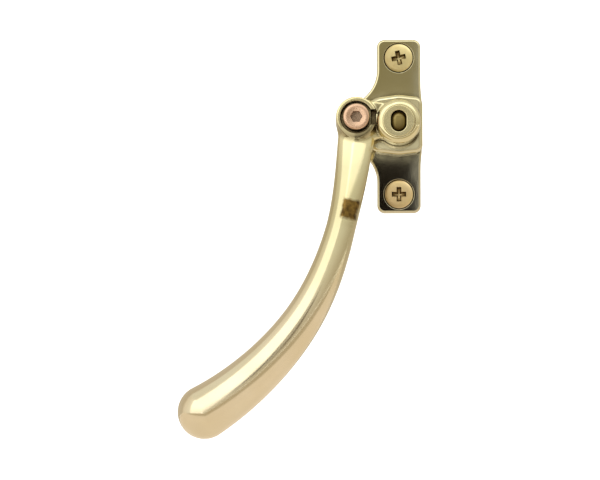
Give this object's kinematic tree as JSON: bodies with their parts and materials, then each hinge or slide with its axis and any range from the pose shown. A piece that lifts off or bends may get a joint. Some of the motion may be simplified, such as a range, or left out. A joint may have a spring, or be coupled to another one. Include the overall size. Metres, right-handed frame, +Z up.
{
  "type": "cranked window handle with screw lock",
  "caption": "Cranked window handle: a curved lever that swells to a bulb, a lock screw in its elbow, on a narrow screw plate with a square spindle behind.",
  "frame": {"origin": "on the hub's axis, in the plane of the plate's back, halfway between the fixing screws", "axes": "+Z up the plate, +X to the right as seen from the room, -Y towards the room, +Y into the window along the spindle"},
  "size_m": [0.0741, 0.0641, 0.1241],
  "materials": {
    "polished_brass": "cast, polished to a mirror and lacquered",
    "copper_toned_brass": "turned, polished, a little redder than the lever",
    "brass_plated_steel": "cold headed steel, bright brass plate",
    "zinc_plated_steel": "drawn bar, bright zinc plate",
    "spring_steel": "hardened, dark oiled",
    "acetal": "moulded, natural white"
  },
  "bodies": {
    "base": {"backplate": "polished_brass", "fixing_screw_upper": "brass_plated_steel", "fixing_screw_lower": "brass_plated_steel", "pivot_bush": "acetal", "disc_spring": "spring_steel"},
    "handle": {"lever": "polished_brass", "spindle": "zinc_plated_steel", "thrust_washer": "zinc_plated_steel"},
    "lock": {"lock_screw": "copper_toned_brass"}
  },
  "joints": [
    {"name": "handle_turn", "type": "hinge", "parent": "base", "child": "handle", "pos_m": [0, 0, 0], "axis": [0, 1, 0], "range_deg": [0, 90]},
    {"name": "lock_slide", "type": "slide", "parent": "handle", "child": "lock", "axis": [0, 1, 0], "range_m": [0, 0.0024]}
  ]
}
